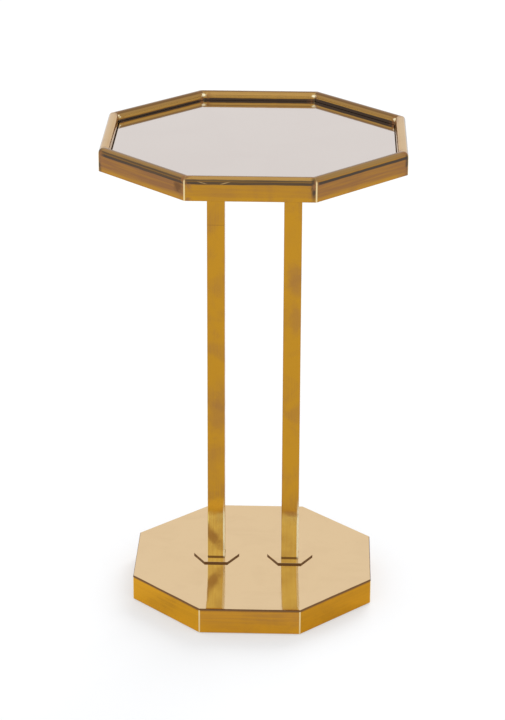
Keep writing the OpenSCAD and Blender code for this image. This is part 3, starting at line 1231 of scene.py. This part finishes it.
@dataclass
class Base:
    """The base: a polished top, a skirt of eight panels and the felt underneath.

    Args:
        sheet: Thickness of the brass sheet.
        edge: Radius of the rounded edge of the top.
        corner: Radius of the outer corners.
        inner_corner: Radius of the skirt's inner corners.
        roll: How far the top falls towards its edge from the polishing.
        roll_width: Distance over which it falls.
        hem: Radius of the skirt's lower edge.
        felt_edge: Cut edge of the felt.
        felt_corner: Radius of its corners.
    """

    sheet: float = 2 * MM
    edge: float = 1.5 * MM
    corner: float = 1.5 * MM
    inner_corner: float = 0.4 * MM
    roll: float = 0.16 * MM
    roll_width: float = 7 * MM
    hem: float = 0.4 * MM
    felt_edge: float = 0.4 * MM
    felt_corner: float = 1 * MM

    def lines(self, veil: float, tint: Colour) -> tuple[Line, ...]:
        """A browner upper half of a panel, and a dark line along its top, a painted dark reflection at the
        base's top edge.

        Args:
            veil: How strongly the veil shows.
            tint: Its colour.

        Returns:
            The lines of a panel.
        """
        low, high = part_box("base_skirt_right")
        top = high.z - low.z + (math.pi / 2 - 1) * self.hem
        return (
            Line(12 * MM, 60 * MM, 16 * MM, veil, tint, 0.4),
            Line(top - 0.9 * MM, top + 20 * MM, 1.4 * MM, 0.6, EDGE_BROWN),
        )

    def finishes(self, skirt: BrassFinish) -> dict[Side, BrassFinish]:
        """Finishes of the eight panels.

        Args:
            skirt: What all have in common.

        Returns:
            The finish of each panel, with the reflection painted for its side: deeper in colour on the
            diagonals, and brighter on the front left.
        """
        plain = replace(skirt, lines=self.lines(0.35, VEIL_BROWN))
        deep = skirt.variant("deep", face=DEEP_GOLD, smudge=DEEP_BROWN, lines=self.lines(0.3, DEEP_BROWN))
        bright = skirt.variant("bright", face=BRIGHT_GOLD, smudge=DEEP_BROWN,
                               lines=self.lines(0.2, DEEP_BROWN))
        chosen = {side: deep if side.diagonal else plain for side in Side}
        chosen[Side.FRONT_LEFT] = bright
        return chosen

    def build(self, top: BrassFinish, skirt: BrassFinish, felt: DullFinish) -> None:
        """Builds the top, the skirt and the felt.

        Args:
            top: Finish of the top.
            skirt: What the finishes of the skirt's panels have in common.
            felt: Finish of the felt.
        """
        self._top(top)
        low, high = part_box("base_skirt_right")
        panel = self._panel(low.z, high.z)
        ring = MitredRing("base_skirt", "skirt_brass", high.x, panel, self.corner, self.inner_corner)
        for side, finish in self.finishes(skirt).items():
            ring.build(side, finish)
        self._felt(felt)

    def _panel(self, low: float, high: float) -> list[Point]:
        """Section of a skirt panel, as insets and heights."""
        hem = arc((self.hem, low + self.hem), self.hem, 270, 180, 3)
        return hem + [(0.0, high), (self.sheet, high), (self.sheet, low)]

    def _top(self, finish: BrassFinish) -> None:
        """Builds the top plate, with a rounded edge and a surface that falls a little towards it.

        Args:
            finish: Its finish.
        """
        low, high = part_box("base_top_plate")
        profile = [(CAP_INSET * high.x, low.z), (0.0, low.z)]
        profile += arc((self.edge, high.z - self.roll - self.edge), self.edge, 180, 90, 6)
        for inset in ROLL_INSETS:
            depth = inset - self.edge
            profile.append((inset, high.z - self.roll * math.exp(-depth / self.roll_width)))
        draft = Draft("base_top_plate")
        draft.octagons(high.x, profile, self.corner, 16, 3)
        draft.make(finish, 50.0)

    def _felt(self, finish: DullFinish) -> None:
        """Builds the felt, glued flat under the bottom board.

        Args:
            finish: Its finish.
        """
        piece = slab("base_felt", self.felt_edge, self.felt_corner, finish)


@dataclass
class Studio:
    """A plain pale floor, soft light from a bright room and one soft lamp, and the camera.

    Args:
        eye: The camera's place.
        pitch: How far it looks down, in degrees.
        yaw: How far it turns from +Y towards -X, in degrees.
        roll: How far it leans to its left, in degrees.
        lens: Its focal length on a 36 mm sensor, in millimetres.
        reach: Half the floor's width.
        pale: Colour of the floor.
        lift: White that the floor adds for rays from the camera, metal and glass.
        horizon: Light of the room up to the lower height.
        zenith: Light of the room above the upper height.
        bright_to: Sine of the lower height.
        dim_from: Sine of the upper height.
        lamp: Strength of the lamp.
        lamp_angle: Its width as seen from the table, in degrees.
        lamp_height: Its height above the horizon, in degrees.
        lamp_turn: Its direction from +Y towards +X, in degrees.
    """

    eye: Vector = field(default_factory=lambda: Vector((0.0751, -2.6694, 1.3591)))
    pitch: float = 22.025
    yaw: float = 1.65
    roll: float = 0.235
    lens: float = 126.35
    reach: float = 14.0
    pale: Colour = (0.49, 0.5, 0.512)
    lift: float = 0.45
    horizon: float = 1.0
    zenith: float = 0.8
    bright_to: float = 0.57
    dim_from: float = 0.9
    lamp: float = 2.0
    lamp_angle: float = 40.0
    lamp_height: float = 28.0
    lamp_turn: float = 18.0

    def build(self) -> None:
        """Builds the floor, the light and the camera."""
        bpy.context.scene.view_settings.view_transform = "Standard"
        self._floor()
        self._room()
        self._lamp()
        self._camera()
        LOG.info("studio is built")

    def _floor(self) -> None:
        """A pale floor that keeps the shadow and shows white."""
        edge = self.reach
        mesh = bpy.data.meshes.new("floor")
        corners = [(-edge, -edge, 0), (edge, -edge, 0), (edge, edge, 0), (-edge, edge, 0)]
        mesh.from_pydata(corners, [], [(0, 1, 2, 3)])
        shader = Shader("floor_white")
        rays = shader.node("ShaderNodeLightPath").outputs
        seen = shader.plus(rays["Is Camera Ray"], rays["Is Glossy Ray"])
        seen = shader.math("MINIMUM", shader.plus(seen, rays["Is Transmission Ray"]), 1.0)
        shader.set(Base_Color=self.pale, Roughness=1.0, Specular_IOR_Level=0.0,
                   Emission_Color=WHITE, Emission_Strength=shader.times(seen, self.lift))
        mesh.materials.append(shader.material)
        floor = bpy.data.objects.new("floor", mesh)
        bpy.context.scene.collection.objects.link(floor)

    def _room(self) -> None:
        """Light that is white round the horizon and dimmer overhead."""
        world = bpy.data.worlds.new("bright_room")
        world.use_nodes = True
        bpy.context.scene.world = world
        nodes = Nodes(world.node_tree)
        height = nodes.split(nodes.node("ShaderNodeTexCoord").outputs["Generated"])[2]
        inputs = world.node_tree.nodes["Background"].inputs
        ends = (self.bright_to, self.dim_from, self.horizon, self.zenith)
        nodes.feed(inputs["Strength"], nodes.ramp(height, *ends))
        nodes.feed(inputs["Color"], WHITE)

    def _lamp(self) -> None:
        """One wide soft lamp behind the table, which the metal doesn't mirror."""
        data = bpy.data.lights.new("soft_lamp", "SUN")
        data.energy = self.lamp
        data.angle = math.radians(self.lamp_angle)
        lamp = bpy.data.objects.new("soft_lamp", data)
        rise, turn = math.radians(self.lamp_height), math.radians(self.lamp_turn)
        towards = Vector((math.sin(turn) * math.cos(rise), math.cos(turn) * math.cos(rise), math.sin(rise)))
        lamp.rotation_mode = "QUATERNION"
        lamp.rotation_quaternion = (-towards).to_track_quat("-Z", "Y")
        lamp.visible_glossy = False
        bpy.context.scene.collection.objects.link(lamp)

    def _camera(self) -> None:
        """The camera at the photograph's angle."""
        data = bpy.data.cameras.new("camera")
        data.lens = self.lens
        camera = bpy.data.objects.new("camera", data)
        aim = Matrix.Rotation(math.radians(self.yaw), 4, "Z")
        aim @= Matrix.Rotation(math.radians(90 - self.pitch), 4, "X")
        aim @= Matrix.Rotation(math.radians(self.roll), 4, "Z")
        camera.matrix_world = Matrix.Translation(self.eye) @ aim
        bpy.context.scene.collection.objects.link(camera)
        bpy.context.scene.camera = camera


STEEL = DullFinish("zinc_steel", (0.62, 0.63, 0.64), (0.42, 0.43, 0.45), (0.28, 0.5), metal=True)
PLYWOOD = DullFinish("birch_plywood", (0.62, 0.44, 0.26), (0.40, 0.25, 0.13), (0.5, 0.75),
                     scales=(14.0, 320.0, 900.0), depth=0.05 * MM)
IRON = DullFinish("mill_scale", (0.05, 0.05, 0.055), (0.025, 0.022, 0.022), (0.55, 0.8), metal=True,
                  scales=(120.0, 120.0, 120.0))
FOAM = DullFinish("closed_foam", (0.085, 0.085, 0.09), (0.05, 0.05, 0.053), (0.8, 0.95),
                  scales=(1500.0, 1500.0, 1500.0), depth=0.15 * MM)
FELT = DullFinish("wool_felt", (0.018, 0.045, 0.028), (0.008, 0.022, 0.014), (0.9, 1.0),
                  scales=(900.0, 900.0, 900.0), depth=0.3 * MM)


def inner_nodes() -> dict[str, Finish]:
    """The frame's own nodes that stay.

    Returns:
        The finish of each node, by its name.
    """
    flange = BrassFinish("flange_gold", FACE_GOLD, ROUND_GOLD, streaks=Streaks.SHEET)
    finishes: dict[str, Finish] = {"deck_board": PLYWOOD, "bottom_board": PLYWOOD, "ballast_plate": IRON}
    screws = ("ledge_screws", "flange_screws", "board_screws")
    for name in (*screws, "leg_bolts", "leg_washers", "board_standoffs"):
        finishes[name] = STEEL
    for hand in Hand:
        finishes[f"leg_plug_{hand.value}"] = STEEL
        finishes[f"top_flange_{hand.value}"] = flange
    return finishes


def leg_finishes(tube: BrassFinish) -> dict[Hand, BrassFinish]:
    """Finishes of the two legs, each with its own smudges and a painted highlight low on its right front
    edge, and one with a scratch across it.

    Args:
        tube: What both have in common.

    Returns:
        The finish of each leg.
    """
    low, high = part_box("leg_right")
    middle, front = (low.x + high.x) / 2, low.y
    scratch = Line(-1.0, 1.0, 1 * MM, 0.45, EDGE_BROWN, reach=mm(443.6, 444.2, 0.4))
    # Painted highlights on the legs' right front edges, low down.
    glint = mm(1.4, 1.6, 36)
    edge = high.x - middle - 0.6 * MM
    left = (
        Patch((edge - middle, front, 62 * MM), glint, 0.9, tint=GLINT_GOLD),
        Patch((-middle, front, 101 * MM), mm(14, 9, 8), 0.6, tint=SKIRT_GOLD),
        Patch((2 * MM - middle, front, 215 * MM), mm(12, 9, 26), 0.4),
        Patch((-6 * MM - middle, front, 62 * MM), mm(24, 9, 6.5), 0.65, 50.0),
    )
    right = (
        Patch((edge + middle, front, 62 * MM), glint, 0.9, tint=GLINT_GOLD),
        Patch((middle + 4 * MM, front, 380 * MM), mm(10, 9, 20), 0.5),
        Patch((middle + 5 * MM, front, 331 * MM), mm(8, 9, 18), 0.4),
        Patch((middle + 2 * MM, front, 90 * MM), mm(10, 9, 4), 0.5, 15.0),
    )
    return {
        Hand.LEFT: tube.variant("left", patches=left, lines=(*tube.lines, scratch)),
        Hand.RIGHT: tube.variant("right", patches=right),
    }


def main() -> None:
    """Builds the table and the studio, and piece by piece."""
    logging.basicConfig(level=logging.INFO, format="%(name)s: %(message)s")
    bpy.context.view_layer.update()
    Studio().build()
    tray = Tray()
    rail = BrassFinish("rim_gold", FACE_GOLD, ROUND_GOLD, lines=tray.lines(STRAIGHT_CREST, 0.3),
                       seam_width=1 * MM, seam_fade=tray.turn + 1 * MM, soiled=0.8, patches=tray.patches(),
                       sparkle=(tray.inner_face - 3.6 * MM, tray.inner_face - 0.2 * MM))
    tray.build(rail, MirrorFinish(), FOAM)
    plate_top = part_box("base_top_plate")[1].z
    legs = Legs()
    tube = BrassFinish("leg_gold", FACE_GOLD, ROUND_GOLD, smudged=0.45, foot=plate_top + legs.plate_sheen,
                       lines=legs.lines())
    legs.build(
        leg_finishes(tube),
        BrassFinish("collar_gold", PALE_GOLD, PALE_GOLD, smudged=0.1, gloss=(0.06, 0.12),
                    streaks=Streaks.SHEET, lines=legs.collar_lines()),
    )
    Base().build(
        # The top plate's dark rounded edge is a painted dark reflection.
        BrassFinish("plate_gold", PALE_GOLD, PALE_GOLD, smudged=0.05, gloss=(0.05, 0.1), dish=1.8 * MM,
                    streaks=Streaks.SHEET, lines=(Line(-1 * MM, 0.9 * MM, 0.4 * MM, 0.97, EDGE_BROWN),)),
        BrassFinish("skirt_gold", SKIRT_GOLD, ROUND_GOLD, smudged=0.25, seam_width=1 * MM),
        FELT,
    )
    for node, finish in inner_nodes().items():
        dress(node, finish)


if __name__ == "__main__":
    main()
